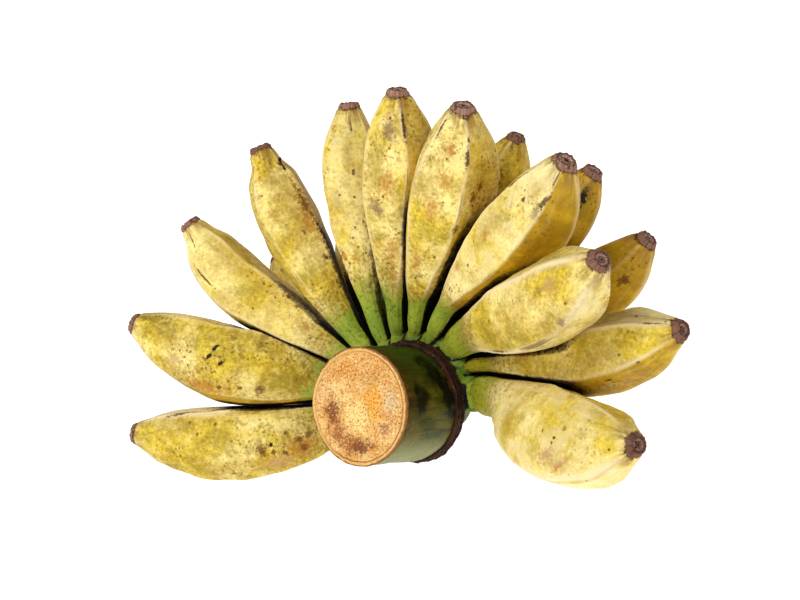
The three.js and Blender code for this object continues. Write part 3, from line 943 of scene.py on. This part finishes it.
class Peel(Paint):
    # the peel of one finger, painted layer upon layer
    def __init__(self, name, facts, looks, order):
        super().__init__(name, 0.5, 0.22, peelColours)
        self.looks = looks
        self.fingerLength = facts["length"]
        self.place = self.node("ShaderNodeMapping", {
            "Vector": self.place, "Location": (order * 0.37, order * 0.11, 0)}).outputs["Vector"]
        self.grow = self.attribute("grow", "Vector")
        self.broad = self.noise(38, detail=6, rough=0.62, bend=0.3)
        self.patchy = self.noise(95, detail=5, rough=0.65)
        self.fine = self.noise(480, detail=4, rough=0.7)
        self.grit = self.sum(self.product(self.fine, 0.55),
                             self.product(self.noise(210, detail=4, rough=0.7), 0.45))
        self.streaks = self.lengthwise(330, 0.08)
        self.lines = self.lengthwise(260, 0.05, detail=4, rough=0.7)
        self.dirt = self.lengthwise(85, 0.6, detail=7, rough=0.72)
        self.stem = self.sum(self.attribute("stem"), self.wobble(self.patchy, 0.006))

    def lengthwise(self, scale, stretch, **settings):
        return self.noise(scale, self.stretched(self.grow, 1, 1, stretch), **settings)

    def markReach(self, mark):
        # how far a place is from a mark's middle, 1 at its edge
        share, turn, across, lengthwise, tilt = (*mark, 0)[:5]
        angle = math.radians(turn)
        out = Vector((math.cos(angle), math.sin(angle), 0))
        tilted = Matrix.Rotation(math.radians(tilt), 3, out)
        first = tilted @ Vector((-math.sin(angle), math.cos(angle), 0))
        facing = Matrix((first, tilted @ up, out)).transposed().to_euler()
        middle = out * peelShape["girth"] + up * share * self.fingerLength
        return self.within(self.grow, middle, (across / 2000, lengthwise / 2000, 0.01), facing)

    def paintGround(self):
        # cream and yellow in large soft zones, clouded with olive and dirt
        dull = self.looks["dull"]
        zones = self.noise(24, detail=4, rough=0.6, bend=0.4)
        self.colour = self.mix(self.span(zones, 0.38, 0.62), "cream", "sunny")
        self.layer("deep", self.broad, 0.44, 0.66, 0.5)
        self.layer("deep", self.patchy, 0.48, 0.70, 0.35)
        self.layer("greenish", self.noise(55, detail=6, rough=0.68), 0.47, 0.68, 0.2 + dull * 0.45)
        self.over("dirt", self.span(self.dirt, 0.45, 0.68), self.span(zones, 0.42, 0.60, 0.3, 1), dull)
        self.layer("grit", self.grit, 0.48, 0.62, 0.4 + dull * 0.35)
        self.layer("cream", self.grit, 0.49, 0.37, 0.45)

    def paintFacets(self):
        # each facet has its own tone: ochre that is partly painted shade, or pale that is partly painted
        # light, with dry lines
        tone = self.attribute("tone")
        mottled = self.sum(tone, self.wobble(self.patchy, 0.2, 0.35))
        shaded = self.mix(self.span(self.broad, 0.40, 0.62), "ochre", "ochreDarkAndShade")
        shaded = self.mix(self.span(self.grit, 0.50, 0.64, 0, 0.5), shaded, "ochreDarkAndShade")
        self.layer(shaded, mottled, -0.05, -0.95, 0.92)
        self.layer("pale", mottled, 0.1, 0.95, 0.8)
        self.dryLines = self.product(self.span(tone, 0.35, 0.8), self.span(self.lines, 0.52, 0.64), 0.6)
        self.over("dryLine", self.dryLines)
        self.layer("dry", self.streaks, 0.55, 0.75, 0.18)

    def paintFreckles(self):
        # freckles gather in places and at the neck; a few larger specks lie anywhere
        specks = self.looks["marks"].get("specks", [])
        gathered = [self.span(self.markReach(mark), 1.2, 0.5) for mark in specks]
        neck = self.product(self.span(self.stem, -0.010, 0.004), self.span(self.stem, 0.030, 0.008))
        here = self.highest(self.span(self.noise(48), 0.50, 0.62, 0, 0.45 + self.looks["dull"] * 0.5),
                            self.product(neck, 0.8), *gathered)
        speck = self.lowest(self.cells(330, self.place), self.sum(self.cells(560, self.place), 0.06))
        self.over("freckle", self.span(speck, 0.36, 0.16), here, self.span(self.fine, 0.3, 0.55), 0.9)
        self.over("freckle", neck, self.span(self.fine, 0.46, 0.62), 0.45)
        cell = self.node("ShaderNodeSeparateColor", {"Color": self.cells(120, self.place, "Color")})
        self.spots = self.product(self.span(self.cells(120, self.place), 0.15, 0.06),
                                  self.span(cell.outputs["Red"], 0.80, 0.82), 0.8)
        self.over("dark", self.spots)

    def paintRidges(self):
        # dry strips along the ridges, with dark hairlines in them here and there
        strip = self.attribute("ridge")
        self.over("dry", strip, self.span(self.lengthwise(150, 0.3), 0.25, 0.55, 0.35, 1))
        here = self.span(self.lengthwise(60, 0.5), 0.56, 0.66)
        self.over("dark", self.span(strip, 0.4, 0.7), here, self.span(self.lines, 0.46, 0.56), 0.7)

    def paintMarks(self):
        uneven = self.sum(self.wobble(self.noise(500), 0.4, 0.25),
                          self.wobble(self.noise(1500, detail=2), 0.25))
        for kind, (colour, soft, strength) in markKinds.items():
            reaches = [self.markReach(mark) for mark in self.looks["marks"].get(kind, [])]
            if reaches:
                edge = self.sum(self.lowest(*reaches), uneven)
                self.layer(colour, edge, 1 + soft * 0.4, 1 - soft * 0.8, strength)

    def paintStem(self):
        # green or ripe, and painted shade in the gaps between fingers
        ripe = self.product(self.span(self.broad, 0.35, 0.6, 0.6, 1), self.looks["ripe"])
        green = self.mix(self.span(self.broad, 0.4, 0.6), "stem", "stemLight")
        green = self.mix(ripe, green, "stemRipe")
        green = self.mix(self.span(self.streaks, 0.55, 0.75, 0, 0.35), green, "stemDark")
        green = self.mix(self.span(self.fine, 0.52, 0.66, 0, 0.6), green, "stemDark")
        self.layer("greenish", self.stem, 0.018, 0.0, 0.5)
        self.layer(green, self.stem, 0.009, -0.009)
        # painted shade: reddish brown at the fringe, near black deep in the gaps
        shade = self.sum(self.attribute("shade"), self.wobble(self.grit, 0.12, 0.35))
        self.layer("shadeFringe", shade, 0.30, 0.62, 0.75)
        self.layer("gap", shade, 0.60, 0.82, 0.95)

    def paintTip(self):
        # browned end and the scar of the flower: a wrinkled pinkish collar with a dark line under it
        burnt = self.looks["burnt"]
        ending = self.sum(self.attribute("ending"), self.wobble(self.patchy, 0.0012),
                          self.wobble(self.grit, 0.0009, 0.38))
        self.over("tipStain", self.span(ending, 0.013, 0.002), self.span(self.dirt, 0.42, 0.60), 0.8)
        self.layer("tipRim", ending, 0.0030, 0.0016, 0.85)
        wrinkle = self.lengthwise(520, 0.35, detail=5, rough=0.75, bend=0.6)
        wall = self.mix(self.span(wrinkle, 0.38, 0.62), "tipWall", "tipRing")
        self.layer(wall, ending, 0.0014, 0.0008, 0.95)
        self.over("tipRim", self.span(ending, 0.0016, 0.0004), self.span(wrinkle, 0.30, 0.55), burnt)
        scar = self.sum(self.attribute("scar"), self.wobble(wrinkle, 0.16))
        for colour, low, high, strength in (
                ("tipRim", 1.12, 1.25, 0.8), ("tipRing", 1.32, 1.45, 0.9 - burnt * 0.5),
                ("tipRim", 1.55, 1.66, 0.8), ("tipRing", 1.72, 1.80, 0.7 - burnt * 0.5),
                ("tipCore", 1.86, 1.95, 1)):
            self.layer(colour, scar, low, high, strength)
        cracks = self.product(self.span(wrinkle, 0.50, 0.58), self.span(wrinkle, 0.68, 0.60))
        self.over("tipCore", self.span(ending, 0.0026, 0.0018), cracks, 0.85)


def peelPaint(name, facts, looks, order):
    peel = Peel(name, facts, looks, order)
    peel.paintGround()
    peel.paintFacets()
    peel.paintFreckles()
    peel.paintRidges()
    peel.paintMarks()
    peel.paintStem()
    peel.paintTip()
    relief = peel.sum(peel.product(peel.streaks, 0.7), peel.product(peel.fine, 0.5),
                      peel.product(peel.spots, -0.6), peel.product(peel.dryLines, 0.8))
    return peel.finish(relief, 0.0003, peel.fine, 0.46, 0.66)


curlShape = {
    "finger": "front_finger_4",
    "place": (0.885, 80),  # share along, degrees round
    "lean": (0.8, 0.5),  # outwards, and towards the tip
    "sunk": 0.001,
    "rough": 0.0003,
    "colours": {"dark": "23120c", "brown": "5a3a26"},
    "steps": [  # length, width, turn in degrees
        (0.0012, 0.0008, 0), (0.0015, 0.0005, 14), (0.0015, 0.0004, 20), (0.0014, 0.0006, 10),
        (0.0014, 0.0010, -24), (0.0014, 0.0012, -34), (0.0012, 0.0008, -30), (0.0009, 0.0004, -20)],
}


def spotOn(mesh, facts, share, turn):
    # place and outward direction of a spot on a grown finger
    grow = readLayer(mesh, "grow")
    angle = math.radians(turn)
    girth = peelShape["girth"]
    wanted = np.array([girth * math.cos(angle), girth * math.sin(angle), share * facts["length"]])
    index = int(np.argmin(np.linalg.norm(grow - wanted, axis=1)))
    return mesh.vertices[index].co.copy(), mesh.vertices[index].normal.copy()


def addCurl(mesh, facts):
    # a dried shred of the flower that has stuck to the peel
    place, outwards = spotOn(mesh, facts, *curlShape["place"])
    ahead = (facts["tip"] - place).normalized()
    side = outwards.cross(ahead).normalized()
    outShare, aheadShare = curlShape["lean"]
    way = (outwards * outShare + ahead * aheadShare).normalized()
    turned = way.to_track_quat("Z", "Y").to_matrix().to_4x4()
    bm = bmesh.new()
    bmesh.ops.create_circle(bm, cap_ends=True, segments=10, radius=curlShape["steps"][0][1],
                            matrix=Matrix.Translation(place - way * curlShape["sunk"]) @ turned)
    face = bm.faces[:][0]
    if face.normal.dot(way) < 0:
        bmesh.ops.reverse_faces(bm, faces=[face])
    for length, width, turn in curlShape["steps"]:
        keep = len(bm.faces) == 1  # the first face closes the foot
        grown = bmesh.ops.extrude_face_region(bm, geom=[face], use_keep_orig=keep)["geom"]
        face = [item for item in grown if isinstance(item, bmesh.types.BMFace)][0]
        way = Matrix.Rotation(math.radians(turn), 3, side) @ way
        tilt = face.normal.rotation_difference(way).to_matrix()
        centre = face.calc_center_median()
        arms = [(vert, (tilt @ (vert.co - centre)).normalized()) for vert in face.verts]
        for vert, arm in arms:
            vert.co = centre + way * length + arm * width
    bmesh.ops.recalc_face_normals(bm, faces=bm.faces)
    curl = smoothed(bm, "flower_shred", 2)
    places = readPlaces(curl)
    moveTo(curl, places + readNormals(curl) * (noiseAt(places, 900, 30) * curlShape["rough"])[:, None])
    paint = Paint("dried_shred", 0.8, 0.2, curlShape["colours"])
    grain = paint.noise(900, detail=4, rough=0.7)
    paint.colour = paint.mix(paint.span(grain, 0.4, 0.65), "dark", "brown")
    addPiece(curl, "flower_shred", paint.finish(grain, 0.0004, grain, 0.7, 0.9))


roots = []
for order, name in enumerate(sorted(node for node in frame["nodes"] if "finger" in node)):
    peel, facts = addFinger(name, order)
    roots.append(facts["root"])
    if name == curlShape["finger"]:
        addCurl(peel, facts)
print("fingers are grown")


# the stalk: its meshes are made straight, about the bract scar, and bent into place on the hand

def drawChain(bm, points, closed=False):
    # a line in the half plane right of the stalk's axis: radius, distance forward
    verts = [bm.verts.new((radius, forward, 0)) for radius, forward in points]
    edges = [bm.edges.new(pair) for pair in zip(verts, verts[1:])]
    if closed:
        edges.append(bm.edges.new((verts[-1], verts[0])))
    return verts + edges


def lathed(points, steps, closed=False):
    # the line turned all the way round the stalk's axis
    bm = bmesh.new()
    line = drawChain(bm, points, closed)
    bmesh.ops.spin(bm, geom=line, cent=(0, 0, 0), axis=(0, 1, 0), angle=math.tau, steps=steps, use_merge=True)
    bmesh.ops.remove_doubles(bm, verts=bm.verts, dist=1e-6)
    bmesh.ops.recalc_face_normals(bm, faces=bm.faces)
    return bm


def evenLine(points, spacing):
    # more points along the same line
    points = np.array(points)
    lengths = np.linalg.norm(np.diff(points, axis=0), axis=1)
    reach = np.concatenate([[0], np.cumsum(lengths)])
    wanted = np.unique(np.concatenate([reach, np.arange(0, reach[-1], spacing)]))
    return list(zip(np.interp(wanted, reach, points[:, 0]), np.interp(wanted, reach, points[:, 1])))


def ontoHand(places):
    # from right, forward and up about the bract scar to where the hand lies, bent as the stalk is
    bend = easedShare(places[:, 1], 0, stalkShape["front"] / 2)
    across = places[:, 0] * (stalkShape["flatten"] + (1 - stalkShape["flatten"]) * bend)
    lift = math.radians(stalkShape["lift"]) * bend
    forward = places[:, 1] * np.cos(lift) - places[:, 2] * np.sin(lift)
    height = places[:, 1] * np.sin(lift) + places[:, 2] * np.cos(lift)
    axes = np.array([handRight, handForward, handUp])
    return np.stack([across, forward, height], axis=1) @ axes + np.array(scarCentre)


def addStalkPiece(bm, name, material, relief):
    mesh = bpy.data.meshes.new(name)
    bm.to_mesh(mesh)
    bm.free()
    places, outwards = readPlaces(mesh), readNormals(mesh)
    writeLayer(mesh, "straight", places)
    moveTo(mesh, ontoHand(places + outwards * relief(places, outwards)[:, None]))
    addPiece(mesh, name, material, "stalk")


def stalkPaint(name, roughness, palette, shine=0.3):
    paint = Paint(name, roughness, shine, palette)
    straight = paint.attribute("straight", "Vector")
    return paint, straight, paint.node("ShaderNodeSeparateXYZ", {"Vector": straight}).outputs


def addBlotches(paint, pattern, blotches, uneven):
    # soft-edged spots: their place in the pattern, their size, colour and strength
    for at, size, colour, strength in blotches:
        reach = paint.sum(paint.within(pattern, at, size), uneven)
        paint.over(colour, paint.span(reach, 1.25, 0.45), strength)


skinShape = {
    "behind": 0.0015,  # how far the skin's end stays behind the sawn face
    "steps": 160, "spacing": 0.0014,
    "lumps": 0.0006, "fibres": 0.0002,
    "colours": {"green": "434812", "olive": "625c1c", "fibre": "22290b", "top": "3a5216", "rust": "4a2614",
                "paleUnderside": "8b8c5e", "bruise": "0f1006", "scuff": "23220c", "edge": "4b2a17"},
    # the three near-black blotches on the right side are painted shade; the one on the left is a bruise
    "blotches": [
        ((0.028, 0.018, 0.020), (0.012, 0.010, 0.012), "bruise", 0.92),
        ((0.034, 0.008, 0.008), (0.008, 0.007, 0.016), "bruise", 0.92),
        ((0.036, 0.038, 0.004), (0.006, 0.009, 0.010), "bruise", 0.92),
        ((-0.030, 0.016, 0.012), (0.010, 0.010, 0.012), "bruise", 0.92)],
}


def skinPaint():
    paint, straight, axes = stalkPaint("stalk_skin", 0.5, skinShape["colours"], 0.15)
    fibres = paint.noise(260, paint.stretched(straight, 1, 0.12, 1), detail=4, rough=0.6)
    broad = paint.noise(55, straight)
    fine = paint.noise(420, straight, detail=4, rough=0.65)
    uneven = paint.wobble(paint.noise(130, straight, detail=4), 0.45, 0.25)
    paint.colour = paint.mix(paint.span(broad, 0.38, 0.62), "green", "olive")
    paint.layer("fibre", fibres, 0.45, 0.65, 0.7)
    paint.layer("top", axes["Z"], 0.012, 0.032, 0.7)
    # rusty zone behind the bark's edge, paler towards the underside, near-black blotches: painted shade on
    # the right side and a bruise on the left
    paint.over("rust", paint.span(axes["Y"], 0.030, 0.052), paint.span(fine, 0.35, 0.6), 0.7)
    paleUnderside = paint.sum(paint.span(axes["Z"], -0.010, -0.034), paint.span(fine, 0.3, 0.7, 0, 0.3))
    paint.layer("paleUnderside", paleUnderside, 0.15, 1.1, 0.85)
    addBlotches(paint, straight, skinShape["blotches"], uneven)
    scuffs = paint.span(paint.cells(260, straight), 0.22, 0.10)
    paint.over("scuff", scuffs, paint.span(broad, 0.45, 0.6), 0.6)
    paint.layer("edge", axes["Y"], 0.0485, 0.0510, 0.8)
    relief = paint.sum(paint.product(fibres, 0.8), paint.product(fine, 0.5))
    return paint.finish(relief, 0.0005, fine, 0.38, 0.6)


def addSkin():
    cut, scar = stalkShape["cutRadius"], stalkShape["scarRadius"]
    end = stalkShape["front"] - skinShape["behind"]
    line = [(0, -stalkShape["rear"]), (stalkShape["rearRadius"], -stalkShape["rear"]),
            (scar - 0.0028, -0.0040), (scar - 0.0016, 0.0020), (scar - 0.0012, 0.0060), (cut + 0.0004, 0.020),
            (cut + 0.0001, 0.040), (cut, end + 0.0002), (cut - 0.0008, end + 0.0009), (cut - 0.003, end),
            (0, end)]

    def relief(places, outwards):
        lumps = noiseAt(places * np.array([1, 0.5, 1]), 45, 3) + 0.4 * noiseAt(places, 140, 4)
        fibres = noiseAt(places * np.array([1, 0.1, 1]), 420, 5)
        height = lumps * skinShape["lumps"] + fibres * skinShape["fibres"]
        return height * (1 - easedShare(places[:, 1], end - 0.004, end))

    bm = lathed(evenLine(line, skinShape["spacing"]), skinShape["steps"])
    addStalkPiece(bm, "stalk_skin", skinPaint(), relief)


cutShape = {
    "steps": 168, "spacing": 0.00075,
    "grain": 0.00022, "pores": 0.0002, "waves": 0.0006,
    "sawMarks": 0.00012, "sawPitch": 2600, "sawSlant": 0.35,
    "side": 0.0003,  # roughness round the edge
    "rim": (0.0309, 0.0317),  # the groove inside the bark
    "colours": {"pulp": "d9a35c", "pulpPale": "eac482", "amber": "c98a45", "pore": "84501f",
                "grain": "8c5a2c", "grainPale": "f9e2ab", "band": "dfb26c", "line": "7c4824",
                "bark": "6a4024"},
    "blotches": [  # pale and yellow pith, brown rot at the left and below
        ((-0.001, -0.005, 0), (0.011, 0.010, 1), "f4d287", 0.8),
        ((0.011, 0.001, 0), (0.007, 0.012, 1), "eda52c", 0.75),
        ((-0.004, 0.021, 0), (0.011, 0.006, 1), "cf8434", 0.55),
        ((0.010, 0.015, 0), (0.008, 0.006, 1), "b4793c", 0.45),
        ((0.023, 0.001, 0), (0.006, 0.011, 1), "cdb288", 0.7),
        ((-0.026, 0.012, 0), (0.006, 0.012, 1), "d9ab72", 0.6),
        ((-0.019, -0.003, 0), (0.0055, 0.009, 1), "7d4020", 0.9),
        ((-0.015, -0.014, 0), (0.006, 0.006, 1), "9a5a2c", 0.8),
        ((-0.001, -0.0225, 0), (0.010, 0.005, 1), "70361c", 0.9),
        ((-0.009, -0.020, 0), (0.006, 0.005, 1), "a4642f", 0.8),
        ((0.018, -0.013, 0), (0.004, 0.0045, 1), "a87556", 0.75),
        ((0.020, -0.006, 0), (0.005, 0.004, 1), "d08b3e", 0.6)],
}


def cutPaint():
    paint, _, axes = stalkPaint("sawn_face", 0.75, cutShape["colours"])
    flat = paint.node("ShaderNodeCombineXYZ", {"X": axes["X"], "Y": axes["Z"]}).outputs["Vector"]
    grain = paint.noise(760, flat, detail=4, rough=0.7)
    middling = paint.noise(210, flat, detail=4, rough=0.6)
    paint.colour = paint.mix(paint.span(paint.noise(70, flat), 0.38, 0.62), "pulp", "pulpPale")
    paint.layer("amber", middling, 0.5, 0.66, 0.6)
    addBlotches(paint, flat, cutShape["blotches"], paint.wobble(middling, 0.45))
    # the ends of the stalk's vessels show as darker dots
    vessels = paint.cells(620, flat)
    paint.layer("pore", vessels, 0.32, 0.10, 0.6)
    paint.layer("grain", grain, 0.51, 0.64, 0.75)
    paint.layer("grainPale", grain, 0.47, 0.34, 0.6)
    # the bark: a dark line, a pale band and a brown edge
    reach = paint.sum(paint.length(flat), paint.wobble(middling, 0.00025))
    fading = paint.span(paint.sum(axes["X"], paint.product(axes["Z"], -0.5)), -0.02, 0.012, 0.35, 1)
    paint.layer("band", reach, 0.0305, 0.0312, 0.7)
    paint.over("line", paint.span(reach, 0.0306, 0.0311), paint.span(reach, 0.0319, 0.0314), fading, 0.8)
    paint.layer("bark", reach, 0.0327, 0.0334, 0.8)
    relief = paint.sum(grain, paint.product(paint.span(vessels, 0.3, 0.1), -0.8))
    return paint.finish(relief, 0.0005, grain, 0.65, 0.85)


def addCut():
    front, cut = stalkShape["front"], stalkShape["cutRadius"]
    inner, outer = cutShape["rim"]
    line = [(0, front), (inner - 0.0008, front), (inner, front - 0.0004), (outer, front - 0.0001),
            (cut - 0.0010, front + 0.0001), (cut - 0.0001, front - 0.0004), (cut + 0.0002, front - 0.0012),
            (cut - 0.0006, front - 0.0030), (0, front - 0.0030)]

    def relief(places, outwards):
        facing = np.clip(outwards[:, 1], 0, 1)
        slant = places[:, 0] * cutShape["sawSlant"] + places[:, 2] + noiseAt(places, 60, 9) * 0.001
        height = noiseAt(places, 900, 7) * cutShape["grain"] + noiseAt(places, 240, 8) * cutShape["pores"]
        height += np.sin(slant * cutShape["sawPitch"]) * cutShape["sawMarks"]
        height += noiseAt(places, 35, 10) * cutShape["waves"]
        return height * facing + noiseAt(places, 300, 11) * cutShape["side"] * (1 - facing)

    bm = lathed(evenLine(line, cutShape["spacing"]), cutShape["steps"])
    addStalkPiece(bm, "stalk_cut", cutPaint(), relief)


scarShape = {
    "section": [  # radius and distance forward: two ragged ridges and a thin one behind
        (0.0330, -0.0050), (0.0358, -0.0051), (0.0372, -0.0046), (0.0374, -0.0040), (0.0362, -0.0033),
        (0.0360, -0.0027), (0.0369, -0.0018), (0.0370, -0.0008), (0.0359, 0.0), (0.0369, 0.0008),
        (0.0370, 0.0016), (0.0359, 0.0025), (0.0340, 0.0029), (0.0328, 0.0)],
    "shadedValleys": (0, -0.0030),
    "steps": 240,
    "ragged": 0.0008,
    "colours": {"dark": "2a150b", "brown": "4a2817", "dusty": "6d4a34", "grit": "a08a70",
                "valleyShade": "120804"},
}


def scarPaint():
    paint, straight, axes = stalkPaint("bract_scar", 0.7, scarShape["colours"])
    fine = paint.noise(520, straight, detail=4, rough=0.7)
    paint.colour = paint.mix(paint.span(paint.noise(120, straight), 0.35, 0.65), "dark", "brown")
    paint.layer("dusty", fine, 0.55, 0.7, 0.7)
    paint.layer("grit", paint.cells(420, straight), 0.2, 0.1, 0.5)
    # painted shade in the two grooves between the scar's ridges
    for valleyShade in scarShape["shadedValleys"]:
        away = paint.node("ShaderNodeMath", {0: paint.sum(axes["Y"], -valleyShade)}, operation="ABSOLUTE")
        paint.layer("valleyShade", away.outputs["Value"], 0.0009, 0.0002, 0.85)
    return paint.finish(fine, 0.0006, fine, 0.55, 0.8)


def addScar():
    def relief(places, outwards):
        ragged = noiseAt(places, 190, 12) + 0.6 * noiseAt(places, 520, 13) + 0.8 * noiseAt(places, 50, 14)
        return ragged * scarShape["ragged"]

    bm = lathed(scarShape["section"], scarShape["steps"], closed=True)
    addStalkPiece(bm, "stalk_scar", scarPaint(), relief)


crownShape = {
    "start": -14,  # degrees round the stalk from the right
    "turn": 214,
    "section": [  # radius and distance forward
        (0.0200, -0.0350), (0.0335, -0.0352), (0.0360, -0.0330), (0.0366, -0.0200), (0.0364, -0.0075),
        (0.0352, -0.0036), (0.0300, -0.0026), (0.0200, -0.0030)],
    "shadeWebs": [  # start and turn in degrees, radius: dark sheets between the two rows of stems, put there as painted shade
        (-6, 194, 0.058), (-3, 16, 0.078), (26, 18, 0.070), (108, 26, 0.066), (133, 24, 0.076),
        (158, 28, 0.080)],
    "webDepth": (-0.0212, -0.0178),
    "webInner": 0.032,
    "spacing": 0.002, "stepTurn": 3,
    "voxel": 0.0013, "softened": 6,
    "lumps": 0.0006, "grain": 0.0003,
    "rootLength": 0.0085, "rootRise": 0.001,
    "rootSpread": (0.0008, 0.00192),  # how far a root is wider and deeper than its stem
    "stemReach": (0.008, 0.011),  # below a stem's foot, and before or behind it
    "colours": {"green": "637d22", "yellow": "87932f", "fibre": "41521a", "grit": "3a3414",
                "deep": "100d07"},
}


def crownPaint():
    paint, straight, _ = stalkPaint("crown", 0.55, crownShape["colours"])
    fibres = paint.noise(240, straight, detail=4, rough=0.6)
    paint.colour = paint.mix(paint.span(paint.noise(80, straight), 0.38, 0.62), "green", "yellow")
    paint.layer("fibre", fibres, 0.5, 0.68, 0.7)
    paint.layer("grit", paint.cells(300, straight), 0.25, 0.12, 0.6)
    # painted shade: near black on the webs, in the valleys between stems and behind the bract scar
    paint.layer("deep", paint.sum(paint.attribute("deep"), paint.wobble(fibres, 0.2)), 0.15, 0.7)
    return paint.finish(fibres, 0.0006, fibres, 0.45, 0.7)


def addRoot(bm, foot, along, rim):
    # a swelling where a stem grows out of the crown, as wide as the stem's foot
    forward = (handForward - along * handForward.dot(along)).normalized()
    side = along.cross(forward)
    wider, deeper = crownShape["rootSpread"]
    wide = max(abs(arm.dot(side)) for arm in rim) + wider
    deep = max(abs(arm.dot(forward)) for arm in rim) + deeper
    turned = Matrix((side * wide, forward * deep, along * crownShape["rootLength"])).transposed().to_4x4()
    bmesh.ops.create_icosphere(bm, subdivisions=3, radius=1,
                               matrix=Matrix.Translation(foot + along * crownShape["rootRise"]) @ turned)


def addArc(bm, section, start, turn):
    # part of a ring round the stalk, in place on the hand
    arc = bmesh.new()
    line = drawChain(arc, evenLine(section + section[:1], crownShape["spacing"])[:-1], closed=True)
    edges = [item for item in line if isinstance(item, bmesh.types.BMEdge)]
    face = bmesh.ops.contextual_create(arc, geom=edges)
    bmesh.ops.rotate(arc, cent=(0, 0, 0), matrix=Matrix.Rotation(-math.radians(start), 3, "Y"),
                     verts=arc.verts)
    bmesh.ops.spin(arc, geom=face["faces"] + arc.edges[:] + arc.verts[:], cent=(0, 0, 0), axis=(0, -1, 0),
                   angle=math.radians(turn), steps=int(turn / crownShape["stepTurn"]))
    bmesh.ops.recalc_face_normals(arc, faces=arc.faces)
    for vert in arc.verts:
        vert.co = Vector(ontoHand(np.array([vert.co]))[0])
    spare = bpy.data.meshes.new("arc")
    arc.to_mesh(spare)
    arc.free()
    bm.from_mesh(spare)
    bpy.data.meshes.remove(spare)


def stemDistances(places):
    # how far each place is beside the nearest stem and the next; 9 metres where no stem is in reach
    below, deep = crownShape["stemReach"]
    beyond = []
    for foot, along, rim in roots:
        side = along.cross(handForward).normalized()
        wide = max(abs(arm.dot(side)) for arm in rim)
        off = places - np.array(foot)
        beside = (off @ np.array(along) > -below) & (np.abs(off @ np.array(handForward)) < deep)
        beyond.append(np.where(beside, np.abs(off @ np.array(side)) - wide, 9))
    return np.sort(np.array(beyond), axis=0)[:2]


def crownDepth(places, straight):
    # 1 where painted shade darkens the crown: the dark webs, the valleys between stems and behind the bract
    #                                          scar
    across, forward, height = straight.T
    reach = np.hypot(across, height)
    shadeWebbed = easedShare(-forward, 0.0150, 0.0172) * easedShare(reach, 0.0365, 0.0395)
    shadeWebbed *= easedShare(forward, -0.0250, -0.0215)
    nearest, second = stemDistances(places)
    shadedValleys = np.maximum(easedShare(second - nearest, 0.0026, 0.0008), easedShare(nearest, 0.0, 0.0012))
    shadedValleys *= easedShare(reach, 0.0352, 0.0364) * easedShare(nearest, 0.02, 0.01)
    shadowBehindScar = easedShare(forward, -0.0072, -0.0056) * easedShare(across / reach, 0.3, 0.6)
    shadowBehindScar *= easedShare(reach, 0.0380, 0.0370)
    return np.maximum(shadeWebbed, np.maximum(shadedValleys, shadowBehindScar) * 0.9)


def addCrown():
    bm = bmesh.new()
    addArc(bm, crownShape["section"], crownShape["start"], crownShape["turn"])
    rear, front = crownShape["webDepth"]
    inner = crownShape["webInner"]
    # dark sheets between the rows of stems, standing for the deep shade there
    for start, turn, reach in crownShape["shadeWebs"]:
        addArc(bm, [(inner, rear), (reach, rear), (reach, front), (inner, front)], start, turn)
    for root in roots:
        addRoot(bm, *root)
    mesh = modified(bm, "stalk_crown", ("REMESH", {"mode": "VOXEL", "voxel_size": crownShape["voxel"]}),
                    ("SMOOTH", {"iterations": crownShape["softened"]}))
    places = readPlaces(mesh)
    height = noiseAt(places, 160, 20) * crownShape["lumps"] + noiseAt(places, 420, 21) * crownShape["grain"]
    places += readNormals(mesh) * height[:, None]
    moveTo(mesh, places)
    straight = (places - np.array(scarCentre)) @ np.array([handRight, handForward, handUp]).T
    writeLayer(mesh, "straight", straight)
    writeLayer(mesh, "deep", crownDepth(places, straight))
    addPiece(mesh, "stalk_crown", crownPaint(), "stalk")


addSkin()
addCut()
addScar()
addCrown()
print("stalk is grown")
